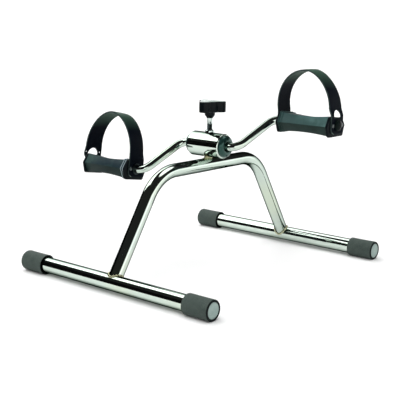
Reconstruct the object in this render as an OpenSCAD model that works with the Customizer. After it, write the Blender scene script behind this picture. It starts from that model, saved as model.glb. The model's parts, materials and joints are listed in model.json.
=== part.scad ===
// Tubular-steel pedal exerciser: two floor tubes, an arched tube between them,
// a hub with a bent crank, two strapped pedals and a friction brake on top.
// X runs along the floor tubes and the crank, Y runs from the front floor tube
// to the rear one, Z is up, and the origin is on the floor under the hub.

/* [Floor tubes and rubber tips] */
// Outside diameter of the two floor tubes
floor_tube_d = 25.4; // [22:0.1:28]
// Length of each floor tube
floor_tube_len = 381; // [340:1:440]
// Distance between the axes of the floor tubes
floor_tube_spacing = 446.8; // [380:1:520]
// Outside diameter of a rubber tip
tip_d = 31.8; // [30:0.1:36]
// Length of the tip that grips the tube
tip_grip = 43; // [30:1:50]
// Thickness of the tip's closed end
tip_end = 4; // [3:0.5:6]
// Depth of the narrow flat moulded under each tip
tip_flat = 0.5; // [0.3:0.1:0.8]

/* [Arch] */
// Outside diameter of the arched tube
arch_d = 22.2; // [19:0.1:24]
// Height of the top beam's axis
beam_z = 170.7; // [155:0.5:185]
// Half the distance between the points where the leg and beam axes cross
arch_half = 125.5; // [110:0.5:140]
// Centre-line radius of the two bends
arch_bend = 72; // [55:1:80]
// Wall of the steel tubes
tube_wall = 1.5; // [1.2:0.1:2]

/* [Hub] */
// Outside diameter of the hub
hub_d = 40.7; // [38:0.1:44]
// Length of the hub
hub_len = 64; // [56:1:70]
// Height of the hub's axis
hub_z = 203.4; // [200:0.1:206]
// Wall of the hub
hub_wall = 2.5; // [2:0.1:3]
// How far a bearing cap stands out of the hub
cap_out = 7; // [5:0.5:8]

/* [Crank] */
// Diameter of the crank rod
rod_d = 13.3; // [12.5:0.1:14]
// Distance from the hub axis to a pedal axis
throw = 87; // [75:1:95]
// Where the first bend's axes cross, from the middle
elbow_x = 57; // [55:0.5:60]
// Where the second bend's axes cross, from the middle
knee_x = 75.5; // [72:0.5:77]
// Centre-line radius of the crank's bends
rod_bend = 20; // [18:0.5:22]
// Angle of the right arm above the level line towards the rear
crank_angle = 30; // [0:1:90]

/* [Brake] */
// Diameter of the tension screw
screw_d = 9; // [8:0.1:10]
// Height of the knob's underside
knob_z = 257.3; // [250:0.1:265]
// Height of the knob's grip
knob_h = 18; // [14:0.5:20]
// Distance of a lobe's centre from the screw
lobe_out = 16.5; // [14:0.5:18]
// Radius of a lobe
lobe_r = 9.5; // [8:0.5:11]
// Direction of the first lobe
lobe_turn = 39; // [0:1:119]
// Height of the neck under the grip
neck_h = 10; // [8:0.5:14]

/* [Pedals] */
// Width of a pedal between the outer faces of its end plates
pedal_len = 97.8; // [90:0.2:100]
// Height of a pedal at its ends
pedal_h = 31.6; // [26:0.2:34]
// Depth of a pedal across its middle edge
pedal_depth = 50; // [44:1:54]
// Depth of a pedal's top face
tread_depth = 34; // [30:1:38]
// How far the top and bottom faces dip in the middle
dish = 3; // [1:0.5:4]
// How much lower the top face is at its rear edge than at its front edge
tread_fall = 4; // [0:0.1:6]
// How far the middle of the pedal lies below the spindle
pedal_sink = 1; // [0:0.1:2]
// How far the left pedal's rear edge hangs down, in degrees
left_tilt = 8.5; // [0:0.5:10]

/* [Foot straps] */
// Width of a strap
strap_w = 33.6; // [30:0.2:34]
// Thickness of a strap
strap_t = 2.4; // [2:0.1:2.6]
// Height of the right strap above the pedal axis
right_strap_top = 84.5; // [75:0.5:95]
// Height of the left strap above the pedal axis
left_strap_top = 91; // [75:0.5:95]
// Height above the pedal axis where the strap starts to curve
strap_spring = 26.8; // [24:0.2:30]
// How far a strap's ends reach below the pedal axis
strap_foot = 13; // [10:0.5:14]

/* [Hidden] */
$fn = 96;

// Floor tubes and tips
floor_r = floor_tube_d / 2;
tip_r = tip_d / 2;
floor_z = tip_r - tip_flat;
floor_y = floor_tube_spacing / 2;
floor_half = floor_tube_len / 2;
tip_mouth_r = floor_r + 1;
tip_mouth_depth = 2;
tip_recess_r = tip_r * 0.77;
tip_recess = 0.8;
tip_edge = 2;

// Arch: the leg axis runs from the floor tube's axis to the corner of the arch
arch_r = arch_d / 2;
leg_angle = atan2(beam_z - floor_z, floor_y - arch_half);
beam_half = arch_half - arch_bend * tan(leg_angle / 2);
leg_len = norm([floor_y - arch_half, beam_z - floor_z]) - arch_bend * tan(leg_angle / 2);
weld_leg = 2.6;
seam_half = 0.2;
seam_skin = 0.02;

// Hub
hub_r = hub_d / 2;
hub_bore_r = hub_r - hub_wall;
saddle_w = 13;
saddle_top = 24;
saddle_foot = 33;
hub_edge = 2;
boss_r = 7;
boss_h = 4.5;
bush_len = 12;
cap_plug = 3;
cap_r = hub_r - 2.1;

// Crank
rod_r = rod_d / 2;
running_gap = 0.05;
free_gap = 0.4;
arm_angle = atan2(throw, knee_x - elbow_x);
bend_run = rod_bend * tan(arm_angle / 2);
arm_len = norm([knee_x - elbow_x, throw]) - 2 * bend_run;
spindle_x = knee_x + bend_run;

// Pedal stations along the spindle, measured from the middle of the machine
pedal_gap = 0.3;
washer_t = 1.6;
washer_r = 9.4;
end_cap_r = 9.2;
end_cap_wall = 1.5;
strap_in_x = spindle_x + washer_t + pedal_gap;
plate_t = 4;
plate_in_x = strap_in_x + strap_t;
plate_out_x = plate_in_x + pedal_len;
pedal_mid_x = plate_in_x + pedal_len / 2;
strap_out_x = plate_out_x + strap_t;
body_len = pedal_len - 2 * plate_t;
spindle_cap_x = strap_out_x + pedal_gap;
spindle_end_x = spindle_cap_x + 4;
plate_rim = 1.5;
spindle_hole_r = 8.6;
tread_slots = 9;
tread_slot_depth = 1.5;
tread_rib = 2.6;
tread_margin = 4;
fall_angle = atan2(tread_fall, tread_depth);

// Strap: a pointed arch whose curve is flatter than a true ellipse
strap_half = pedal_len / 2;
arch_power = 1.11;
arch_steps = 56;
window_r = 10.5;
window_z = 12.4;
window_side = 1.2;
side_hole_r = 1.6;
side_hole_y = 13.8;
side_hole_z = 17;
peg_y = 12.9;
peg_r = 2.2;
peg_head_r = 3.2;
peg_head = 1.5;
peg_deep = 3.5;

// Brake: the shoe hangs just above the collar and rises with the screw
collar_r = 9;
collar_len = 22;
shoe_gap = 0.4;
shoe_top = 12.6;
shoe_half_y = 6.5;
shoe_len = 16;
screw_tip_r = 3;
screw_tip = 1.6;
screw_in_knob = 10;
neck_r = 8.6;
neck_foot_r = 5.2;
lobe_hollow_r = 7;
thread_gap = 0.05;

// Draws its child along +X, starting at x
module along_x(x) {
    translate([x, 0, 0]) rotate([0, 90, 0]) children();
}

// Puts its child at a floor tube's axis: end is -1 at the front, 1 at the rear
module at_floor_tube(end) {
    translate([0, end * floor_y, floor_z]) children();
}

// Puts its child at the hub's axis
module at_hub() {
    translate([0, 0, hub_z]) children();
}

// Puts its child in the crank's plane, with the right arm towards +Y
module at_crank() {
    at_hub() rotate([crank_angle, 0, 0]) children();
}

// Puts its child at a pedal axis, with the pedal's outer end away from the hub
module at_pedal(side) {
    tilt = side < 0 ? left_tilt : 0;
    translate([0, side * throw * cos(crank_angle), hub_z + side * throw * sin(crank_angle)])
        rotate([-tilt, 0, 0])
            rotate([0, 0, side < 0 ? 180 : 0])
                children();
}

// ---- Frame ----

module floor_tube(end) {
    color("silver")
        at_floor_tube(end)
            along_x(-floor_half)
                difference() {
                    cylinder(h = floor_tube_len, r = floor_r);
                    translate([0, 0, -1]) cylinder(h = floor_tube_len + 2, r = floor_r - tube_wall);
                }
}

// One rubber tip, modelled along +Z with its closed end at the top
module tip_turning() {
    top = tip_grip + tip_end;
    rotate_extrude()
        polygon([
            [0, tip_grip],
            [floor_r, tip_grip],
            [floor_r, tip_mouth_depth],
            [tip_mouth_r, tip_mouth_depth],
            [tip_mouth_r, 0],
            [tip_r - 0.6, 0],
            [tip_r, 0.6],
            [tip_r, top - tip_edge],
            for (a = [0 : 15 : 90])
                [tip_r - tip_edge + tip_edge * cos(a), top - tip_edge + tip_edge * sin(a)],
            [tip_recess_r, top],
            [tip_recess_r - 0.4, top - tip_recess],
            [0, top - tip_recess]
        ]);
}

module rubber_tip(end, side) {
    start = floor_half - tip_grip;
    color("darkslategray")
        difference() {
            at_floor_tube(end)
                rotate([0, 0, side < 0 ? 180 : 0])
                    along_x(start) tip_turning();
            translate([side * floor_half, end * floor_y, -tip_r])
                cube([2 * floor_tube_len, 3 * tip_r, 2 * tip_r], center = true);
        }
}

// A straight tube along +Z with a hairline collar at its start
module tube_run(len, r, wall) {
    linear_extrude(len) tube_section(r, wall);
    seam(r, wall);
}

// A tube's cross-section; a wall as thick as the radius makes it solid
module tube_section(r, wall) {
    difference() {
        circle(r = r);
        if (wall < r) circle(r = r - wall);
    }
}

// The hairline collar that makes two lengths of tube one solid
module seam(r, wall) {
    translate([0, 0, -seam_half])
        linear_extrude(2 * seam_half) tube_section(r + seam_skin, wall + 2 * seam_skin);
}

// A bend that starts along +Y at the origin and turns towards -X
module tube_bend(bend_r, angle, r, wall) {
    translate([-bend_r, 0, 0])
        rotate_extrude(angle = angle)
            translate([bend_r, 0]) tube_section(r, wall);
}

// Moves its child to the far end of such a bend
module after_bend(bend_r, angle) {
    translate([-bend_r, 0, 0])
        rotate([0, 0, angle])
            translate([bend_r, 0, 0]) children();
}

// Puts its child at the rear end of the beam, with +Y outwards and -X down
module at_beam_end() {
    translate([0, beam_half, beam_z]) rotate([0, -90, 0]) children();
}

// The rear leg's straight stretch, from the bend to the floor tube's axis
module arch_leg(r, wall) {
    at_beam_end()
        after_bend(arch_bend, leg_angle)
            rotate([-90, 0, 0]) tube_run(leg_len, r, wall);
}

module arch_tube() {
    color("silver")
        difference() {
            union() {
                translate([0, -beam_half, beam_z])
                    rotate([-90, 0, 0])
                        linear_extrude(2 * beam_half) tube_section(arch_r, tube_wall);
                for (end = [0, 1])
                    mirror([0, end, 0]) {
                        at_beam_end() {
                            rotate([-90, 0, 0]) seam(arch_r, tube_wall);
                            tube_bend(arch_bend, leg_angle, arch_r, tube_wall);
                        }
                        arch_leg(arch_r, tube_wall);
                    }
            }
            for (end = [-1, 1])
                at_floor_tube(end)
                    along_x(-2 * arch_d)
                        cylinder(h = 4 * arch_d, r = floor_r);
        }
}

// The bead round each leg where it meets its floor tube
module foot_welds() {
    color("silver")
        for (end = [0, 1])
            mirror([0, end, 0])
                difference() {
                    intersection() {
                        weld_cylinder(arch_r + weld_leg);
                        floor_cylinder(floor_r + weld_leg);
                    }
                    weld_cylinder(arch_r);
                    floor_cylinder(floor_r);
                }
}

// A smooth cylinder along the rear leg's axis
module weld_cylinder(r) {
    at_beam_end()
        after_bend(arch_bend, leg_angle)
            rotate([-90, 0, 0]) cylinder(h = leg_len, r = r, $fn = 128);
}

// A smooth cylinder along the rear floor tube's axis
module floor_cylinder(r) {
    at_floor_tube(1)
        along_x(-2 * arch_d) cylinder(h = 4 * arch_d, r = r, $fn = 128);
}

// ---- Hub ----

// The hub's ring, turned along Z, with rounded outer edges
module hub_turning() {
    half = hub_len / 2;
    rotate_extrude()
        polygon([
            [hub_bore_r, -half],
            for (a = [-90 : 15 : 0])
                [hub_r - hub_edge + hub_edge * cos(a), hub_edge - half + hub_edge * sin(a)],
            for (a = [0 : 15 : 90])
                [hub_r - hub_edge + hub_edge * cos(a), half - hub_edge + hub_edge * sin(a)],
            [hub_bore_r, half]
        ]);
}

module hub_shell() {
    color("silver")
        at_hub()
            difference() {
                along_x(0) hub_turning();
                cylinder(h = hub_d, r = screw_d / 2 + 0.6);
            }
}

// A short gusset between the beam and the hub, coped to both
module hub_saddle() {
    rise = hub_z - beam_z;
    color("silver")
        difference() {
            translate([-saddle_w / 2, 0, beam_z])
                rotate([90, 0, 90])
                    linear_extrude(saddle_w)
                        polygon([
                            [-saddle_foot / 2, 0],
                            [saddle_foot / 2, 0],
                            [saddle_foot / 2, arch_r + 1],
                            [saddle_top / 2, rise - hub_r * 0.62],
                            [-saddle_top / 2, rise - hub_r * 0.62],
                            [-saddle_foot / 2, arch_r + 1]
                        ]);
            translate([0, saddle_foot, beam_z])
                rotate([90, 0, 0])
                    cylinder(h = 2 * saddle_foot, r = arch_r);
            translate([-saddle_w, -saddle_foot, beam_z - arch_d])
                cube([2 * saddle_w, 2 * saddle_foot, arch_d + arch_r * 0.45]);
            at_hub() along_x(-hub_len) cylinder(h = 2 * hub_len, r = hub_r);
        }
}

module tension_boss() {
    color("silver")
        at_hub()
            difference() {
                rotate_extrude()
                    polygon([
                        [screw_d / 2 + thread_gap, hub_bore_r],
                        [boss_r, hub_bore_r],
                        [boss_r, hub_r + boss_h - 2],
                        for (a = [0 : 15 : 90])
                            [boss_r - 2 + 2 * cos(a), hub_r + boss_h - 2 + 2 * sin(a)],
                        [screw_d / 2 + thread_gap, hub_r + boss_h]
                    ]);
                along_x(-hub_len) cylinder(h = 2 * hub_len, r = hub_r);
            }
}

// A domed plastic cap with a plug that fits the hub's bore
module bearing_cap(side) {
    face = hub_len / 2;
    hole = rod_r + free_gap;
    color("darkslategray")
        at_hub()
            rotate([0, 0, side < 0 ? 180 : 0])
                along_x(face)
                    rotate_extrude()
                        polygon([
                            [hole, -cap_plug],
                            [hub_bore_r, -cap_plug],
                            [hub_bore_r, 0],
                            [cap_r, 0],
                            [cap_r, 1.2],
                            for (a = [0 : 10 : 80])
                                [hole + 1 + (cap_r - hole - 1) * cos(a), 1.2 + (cap_out - 1.2) * sin(a)],
                            [hole + 1, cap_out],
                            [hole, cap_out - 1]
                        ]);
}

module bush(side) {
    inner_end = hub_len / 2 - cap_plug - bush_len;
    color("ivory")
        at_hub()
            rotate([0, 0, side < 0 ? 180 : 0])
                along_x(inner_end)
                    difference() {
                        cylinder(h = bush_len, r = hub_bore_r);
                        translate([0, 0, -1]) cylinder(h = bush_len + 2, r = rod_r + running_gap);
                    }
}

// ---- Crank ----

// The right half of the rod, in the crank's plane, laid end to end from the middle
module half_rod() {
    solid = 2 * rod_r;
    along_x(0) cylinder(h = elbow_x - bend_run, r = rod_r);
    translate([elbow_x - bend_run, 0, 0]) rotate([0, 0, -90]) {
        rotate([-90, 0, 0]) seam(rod_r, solid);
        tube_bend(rod_bend, arm_angle, rod_r, solid);
        after_bend(rod_bend, arm_angle) {
            rotate([-90, 0, 0]) tube_run(arm_len, rod_r, solid);
            translate([0, arm_len, 0]) mirror([1, 0, 0]) {
                tube_bend(rod_bend, arm_angle, rod_r, solid);
                rotate([-90, 0, 0]) seam(rod_r, solid);
                after_bend(rod_bend, arm_angle)
                    rotate([-90, 0, 0]) tube_run(spindle_end_x - spindle_x, rod_r, solid);
            }
        }
    }
}

module crank_rod() {
    color("silver")
        at_crank()
            for (turn = [0, 180])
                rotate([0, 0, turn]) half_rod();
}

module brake_collar() {
    color("dimgray")
        at_hub()
            along_x(-collar_len / 2)
                difference() {
                    cylinder(h = collar_len, r = collar_r);
                    translate([0, 0, -1]) cylinder(h = collar_len + 2, r = rod_r);
                }
}

module retaining_washer(side) {
    color("silver")
        at_crank()
            rotate([0, 0, side < 0 ? 180 : 0])
                translate([0, throw, 0])
                    along_x(spindle_x + 2 * seam_half)
                        difference() {
                            cylinder(h = washer_t - 2 * seam_half, r = washer_r);
                            translate([0, 0, -1]) cylinder(h = washer_t + 2, r = rod_r);
                        }
}

// A push-on cap over the end of the spindle
module spindle_cap(side) {
    cap_h = spindle_end_x - spindle_cap_x + end_cap_wall;
    color("darkslategray")
        at_crank()
            rotate([0, 0, side < 0 ? 180 : 0])
                translate([0, throw, 0])
                    along_x(spindle_cap_x)
                        difference() {
                            rotate_extrude()
                                polygon([
                                    [0, 0],
                                    [end_cap_r, 0],
                                    [end_cap_r, 1],
                                    for (a = [0 : 15 : 90])
                                        [end_cap_r * cos(a), 1 + (cap_h - 1) * sin(a)]
                                ]);
                            translate([0, 0, -1])
                                cylinder(h = spindle_end_x - spindle_cap_x + 1, r = rod_r);
                        }
}

// ---- Brake ----

module brake_shoe() {
    color("saddlebrown")
        at_hub()
            difference() {
                translate([-shoe_len / 2, -shoe_half_y, 0])
                    cube([shoe_len, 2 * shoe_half_y, shoe_top]);
                along_x(-shoe_len) cylinder(h = 2 * shoe_len, r = collar_r + shoe_gap);
                translate([0, 0, shoe_top - screw_tip])
                    cylinder(h = screw_tip + 1, r = screw_tip_r + free_gap);
            }
}

module tension_screw() {
    tip_z = hub_z + shoe_top - screw_tip + 0.3;
    shoulder_z = hub_z + shoe_top + 0.5;
    color("silver") {
        translate([0, 0, tip_z])
            cylinder(h = shoulder_z - tip_z, r = screw_tip_r);
        translate([0, 0, shoulder_z])
            cylinder(h = knob_z - neck_h + screw_in_knob - shoulder_z, r = screw_d / 2);
    }
}

// The grip's outline: three lobes joined by soft hollows
module lobed_outline() {
    offset(r = -lobe_hollow_r, $fn = 48)
        offset(r = lobe_hollow_r, $fn = 48)
            union() {
                circle(r = lobe_out);
                for (i = [0 : 2])
                    rotate(lobe_turn + i * 120)
                        translate([lobe_out, 0]) circle(r = lobe_r);
            }
}

module tension_knob() {
    color("darkslategray")
        difference() {
            union() {
                translate([0, 0, knob_z])
                    linear_extrude(knob_h) lobed_outline();
                translate([0, 0, knob_z - neck_h])
                    rotate_extrude()
                        polygon([
                            [0, 0],
                            [neck_foot_r, 0],
                            [neck_r, neck_h * 0.55],
                            [neck_r, neck_h + 1],
                            [0, neck_h + 1]
                        ]);
            }
            translate([0, 0, knob_z - neck_h - 1])
                cylinder(h = screw_in_knob + 1, r = screw_d / 2);
        }
}

// ---- Pedals ----

// The pedal's cross-section: a flat bottom, a top that falls to the rear, and a pointed front and rear.
// grow makes it larger at the front, rear and bottom, and the top stays flush
module pedal_section(grow, side) {
    top = tread_depth / 2 + grow / 2;
    edge = pedal_depth / 2 + grow;
    h = pedal_h / 2;
    translate([0, -pedal_sink])
        polygon([
            [-top, -h - grow], [top, -h - grow], [edge, 0],
            [top, h - (side > 0 ? tread_fall : 0)],
            [-top, h - (side < 0 ? tread_fall : 0)], [-edge, 0]
        ]);
}

// The middle of the pedal's top face (s = 1) or bottom face (s = -1), with +Z pointing out of it
module at_tread(s, side) {
    z = s > 0 ? pedal_h / 2 - tread_fall / 2 : -pedal_h / 2;
    translate([pedal_mid_x, 0, z - pedal_sink])
        rotate([s > 0 ? -side * fall_angle : 180, 0, 0])
            children();
}

// The large cylinder that dishes a face between the ends
module dish_cylinder() {
    half = body_len / 2;
    dish_r = (half * half + dish * dish) / (2 * dish);
    translate([0, 0, dish_r - dish])
        rotate([90, 0, 0])
            cylinder(h = 2 * pedal_depth, r = dish_r, center = true, $fn = 360);
}

module pedal_body(side) {
    slot_pitch = (body_len - 2 * tread_margin) / tread_slots;
    slot_w = slot_pitch - tread_rib;
    slot_len = tread_depth - 2 * tread_margin;
    color("darkslategray")
        at_pedal(side)
            difference() {
                translate([plate_in_x + plate_t, 0, 0])
                    rotate([90, 0, 90])
                        linear_extrude(body_len) pedal_section(0, side);
                along_x(plate_in_x - 1) cylinder(h = pedal_len + 2, r = rod_r + running_gap);
                for (s = [-1, 1])
                    at_tread(s, side) {
                        dish_cylinder();
                        for (i = [0 : tread_slots - 1])
                            translate([(i - (tread_slots - 1) / 2) * slot_pitch, 0, -dish])
                                cube([slot_w, slot_len, 2 * tread_slot_depth], center = true);
                    }
            }
}

module end_plate(side, x) {
    color("darkslategray")
        at_pedal(side)
            difference() {
                translate([x, 0, 0])
                    rotate([90, 0, 90])
                        linear_extrude(plate_t) pedal_section(plate_rim, side);
                along_x(x - 1) cylinder(h = plate_t + 2, r = rod_r + free_gap);
                for (s = [-1, 1])
                    translate([0, s * peg_y, 0])
                        along_x(x - 1) cylinder(h = plate_t + 2, r = peg_r);
            }
}

module inner_plate(side) {
    end_plate(side, plate_in_x);
}

module outer_plate(side) {
    end_plate(side, plate_out_x - plate_t);
}

// ---- Foot straps ----

// A point on the strap's curve, for t from 0 to 180 degrees
function strap_point(t, half, top) = [
    half * sign(cos(t)) * pow(abs(cos(t)), arch_power),
    strap_spring + (top - strap_spring) * pow(abs(sin(t)), arch_power)
];

module strap_profile(top) {
    outer = strap_half + strap_t;
    polygon([
        [outer, -strap_foot],
        for (i = [0 : arch_steps])
            strap_point(i * 180 / arch_steps, outer, top),
        [-outer, -strap_foot],
        [-strap_half, -strap_foot],
        for (i = [arch_steps : -1 : 0])
            strap_point(i * 180 / arch_steps, strap_half, top - strap_t),
        [strap_half, -strap_foot]
    ]);
}

// The strap seen from its end: a band with rounded lower corners
module strap_front(top) {
    corner = 6;
    half = strap_w / 2;
    translate([-half, corner - strap_foot]) square([strap_w, top + 10]);
    translate([corner - half, -strap_foot]) square([strap_w - 2 * corner, corner + 1]);
    for (s = [-1, 1])
        translate([s * (half - corner), corner - strap_foot]) circle(r = corner);
}

module foot_strap(side, top) {
    color("darkslategray")
        at_pedal(side)
            difference() {
                intersection() {
                    translate([pedal_mid_x, strap_w, 0])
                        rotate([90, 0, 0])
                            linear_extrude(2 * strap_w) strap_profile(top);
                    translate([strap_in_x - 1, 0, 0])
                        rotate([90, 0, 90])
                            linear_extrude(pedal_len + 2 * strap_t + 2) strap_front(top);
                }
                along_x(strap_in_x - 1) cylinder(h = pedal_len + 10, r = spindle_hole_r);
                for (s = [-1, 1])
                    translate([0, s * peg_y, 0])
                        along_x(strap_in_x - 1) cylinder(h = pedal_len + 10, r = peg_r);
                strap_window();
            }
}

// The round-topped opening in the outer branch, with a small hole on each side
module strap_window() {
    cut_x = plate_out_x - 12;
    translate([0, 0, window_z + window_side]) {
        intersection() {
            along_x(cut_x) cylinder(h = 20, r = window_r);
            translate([cut_x, -window_r, 0]) cube([20, 2 * window_r, window_r]);
        }
        translate([cut_x, -window_r, -window_side])
            cube([20, 2 * window_r, window_side]);
    }
    for (s = [-1, 1])
        translate([0, s * side_hole_y, side_hole_z])
            along_x(cut_x) cylinder(h = 20, r = side_hole_r);
}

// Four pegs that hold a strap's ends to the end plates
module strap_pegs(side) {
    color("dimgray")
        at_pedal(side)
            for (s = [-1, 1]) {
                translate([0, s * peg_y, 0])
                    along_x(strap_out_x - strap_t - peg_deep) strap_peg();
                translate([2 * pedal_mid_x, s * peg_y, 0])
                    rotate([0, 0, 180])
                        along_x(strap_out_x - strap_t - peg_deep) strap_peg();
            }
}

// One peg along +Z, from inside the end plate to the top of its head
module strap_peg() {
    seat = peg_deep + strap_t;
    rotate_extrude()
        polygon([
            [0, 0],
            [peg_r, 0],
            [peg_r, seat],
            [peg_head_r, seat],
            for (a = [0 : 15 : 90])
                [peg_head_r * cos(a), seat + 0.3 + (peg_head - 0.3) * sin(a)]
        ]);
}

floor_tube(-1);  // front_floor_tube
floor_tube(1);  // rear_floor_tube
arch_tube();
foot_welds();
hub_shell();
hub_saddle();
tension_boss();
rubber_tip(-1, -1);  // front_left_tip
rubber_tip(-1, 1);  // front_right_tip
rubber_tip(1, -1);  // rear_left_tip
rubber_tip(1, 1);  // rear_right_tip
bearing_cap(-1);  // left_bearing_cap
bearing_cap(1);  // right_bearing_cap
bush(-1);  // left_bush
bush(1);  // right_bush
crank_rod();
brake_collar();
brake_shoe();
tension_screw();
tension_knob();
retaining_washer(-1);  // left_retaining_washer
retaining_washer(1);  // right_retaining_washer
spindle_cap(-1);  // left_spindle_cap
spindle_cap(1);  // right_spindle_cap
pedal_body(-1);  // left_pedal_body
pedal_body(1);  // right_pedal_body
inner_plate(-1);  // left_inner_plate
inner_plate(1);  // right_inner_plate
outer_plate(-1);  // left_outer_plate
outer_plate(1);  // right_outer_plate
foot_strap(-1, left_strap_top);  // left_foot_strap
foot_strap(1, right_strap_top);  // right_foot_strap
strap_pegs(-1);  // left_strap_pegs
strap_pegs(1);  // right_strap_pegs
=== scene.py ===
import json
import math
import random

import bmesh
import bpy
from mathutils import Matrix, Vector


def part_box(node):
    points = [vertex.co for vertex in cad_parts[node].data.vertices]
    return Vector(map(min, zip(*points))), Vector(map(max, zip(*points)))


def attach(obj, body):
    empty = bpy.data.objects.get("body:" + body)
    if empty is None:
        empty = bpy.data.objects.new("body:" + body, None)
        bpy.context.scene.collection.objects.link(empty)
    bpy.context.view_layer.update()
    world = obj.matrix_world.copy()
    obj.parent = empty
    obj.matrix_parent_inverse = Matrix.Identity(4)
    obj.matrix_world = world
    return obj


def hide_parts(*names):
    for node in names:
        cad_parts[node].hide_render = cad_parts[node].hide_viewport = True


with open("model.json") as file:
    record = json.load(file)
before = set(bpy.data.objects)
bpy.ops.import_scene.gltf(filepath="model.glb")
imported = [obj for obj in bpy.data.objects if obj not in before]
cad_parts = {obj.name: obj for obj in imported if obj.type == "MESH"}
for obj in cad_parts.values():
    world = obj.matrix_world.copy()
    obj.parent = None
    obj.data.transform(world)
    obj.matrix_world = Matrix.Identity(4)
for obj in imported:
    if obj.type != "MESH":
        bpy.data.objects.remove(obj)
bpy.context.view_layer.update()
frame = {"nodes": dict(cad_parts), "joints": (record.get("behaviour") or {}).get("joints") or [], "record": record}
nodes = frame["nodes"]
MM = 0.001
rng = random.Random(7)

# ---------------------------------------------------------------- stations taken from the CAD frame


def mid(node):
    lo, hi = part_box(node)
    return (lo + hi) / 2


def half(node):
    lo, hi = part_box(node)
    return (hi - lo) / 2


joint = {j["name"]: j for j in frame["joints"]}
HUB = Vector(joint["crank_spin"]["pos_m"])
PEDAL = {
    -1: Vector(joint["left_pedal_spin"]["pos_m"]),
    1: Vector(joint["right_pedal_spin"]["pos_m"]),
}
NAME = {-1: "left", 1: "right"}
END = {-1: "front", 1: "rear"}
FLOOR_R = half("front_floor_tube").z
FLOOR_Z = mid("front_floor_tube").z
FLOOR_Y = mid("rear_floor_tube").y

# ---------------------------------------------------------------- materials


class Nodes:
    """Short hands for building one node material."""

    def __init__(self, name):
        self.mat = bpy.data.materials.new(name)
        self.mat.use_nodes = True
        self.tree = self.mat.node_tree
        self.tree.nodes.clear()
        self.out = self.add("ShaderNodeOutputMaterial")
        self.bsdf = self.add("ShaderNodeBsdfPrincipled")
        self.tree.links.new(self.bsdf.outputs[0], self.out.inputs[0])
        self.coord = self.add("ShaderNodeTexCoord").outputs["Object"]

    def add(self, kind, **props):
        n = self.tree.nodes.new(kind)
        for k, v in props.items():
            setattr(n, k, v)
        return n

    def link(self, a, b):
        self.tree.links.new(a, b)

    def set(self, **values):
        for k, v in values.items():
            self.bsdf.inputs[k.replace("_", " ")].default_value = v

    def noise(self, scale, detail=3.0, rough=0.5, stretch=None, distortion=0.0):
        n = self.add("ShaderNodeTexNoise")
        n.inputs["Scale"].default_value = scale
        n.inputs["Detail"].default_value = detail
        n.inputs["Roughness"].default_value = rough
        n.inputs["Distortion"].default_value = distortion
        source = self.coord
        if stretch:
            m = self.add("ShaderNodeMapping")
            m.inputs["Scale"].default_value = stretch
            self.link(source, m.inputs["Vector"])
            source = m.outputs["Vector"]
        self.link(source, n.inputs["Vector"])
        return n.outputs["Fac"]

    def ramp(self, fac, stops):
        r = self.add("ShaderNodeValToRGB")
        e = r.color_ramp.elements
        while len(e) < len(stops):
            e.new(0.5)
        for item, (at, colour) in zip(e, stops):
            item.position = at
            if not hasattr(colour, "__len__"):
                colour = (colour, colour, colour)
            item.color = (*colour, 1.0)
        self.link(fac, r.inputs["Fac"])
        return r.outputs["Color"]

    def range(self, fac, lo, hi, a=0.0, b=1.0):
        m = self.add("ShaderNodeMapRange")
        for key, v in (("From Min", a), ("From Max", b), ("To Min", lo), ("To Max", hi)):
            m.inputs[key].default_value = v
        self.link(fac, m.inputs["Value"])
        return m.outputs["Result"]

    def mix(self, fac, a, b, mode="MIX"):
        m = self.add("ShaderNodeMix", data_type="RGBA", blend_type=mode)
        for source, socket in ((fac, m.inputs[0]), (a, m.inputs[6]), (b, m.inputs[7])):
            if hasattr(source, "is_linked"):
                self.link(source, socket)
            elif hasattr(source, "__len__"):
                socket.default_value = (*source, 1.0)
            else:
                socket.default_value = source
        return m.outputs[2]

    def maths(self, op, a, b=0.0):
        m = self.add("ShaderNodeMath", operation=op)
        for source, socket in ((a, m.inputs[0]), (b, m.inputs[1])):
            if hasattr(source, "is_linked"):
                self.link(source, socket)
            else:
                socket.default_value = source
        return m.outputs[0]

    def bump(self, height, distance, strength=1.0, after=None):
        b = self.add("ShaderNodeBump")
        b.inputs["Strength"].default_value = strength
        b.inputs["Distance"].default_value = distance
        self.link(height, b.inputs["Height"])
        if after is not None:
            self.link(after, b.inputs["Normal"])
        return b.outputs["Normal"]

    def edges(self, radius):
        """1 on sharp convex edges and 0 on flat faces, from the bevelled normal."""
        bevel = self.add("ShaderNodeBevel", samples=4)
        bevel.inputs["Radius"].default_value = radius
        geo = self.add("ShaderNodeNewGeometry")
        dot = self.add("ShaderNodeVectorMath", operation="DOT_PRODUCT")
        self.link(bevel.outputs[0], dot.inputs[0])
        self.link(geo.outputs["Normal"], dot.inputs[1])
        return self.range(dot.outputs["Value"], 1.0, 0.0, 0.80, 0.995)

    def upward(self, a, b, lo=0.0, hi=1.0):
        """How far the surface faces up, from `lo` at a normal of height a to `hi` at height b."""
        split = self.add("ShaderNodeSeparateXYZ")
        self.link(self.add("ShaderNodeNewGeometry").outputs["Normal"], split.inputs[0])
        return self.range(split.outputs["Z"], lo, hi, a, b)

    def finish(self, colour=None, roughness=None, normal=None):
        if colour is not None:
            self.link(colour, self.bsdf.inputs["Base Color"])
        if roughness is not None:
            self.link(roughness, self.bsdf.inputs["Roughness"])
        if normal is not None:
            self.link(normal, self.bsdf.inputs["Normal"])
        return self.mat


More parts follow.
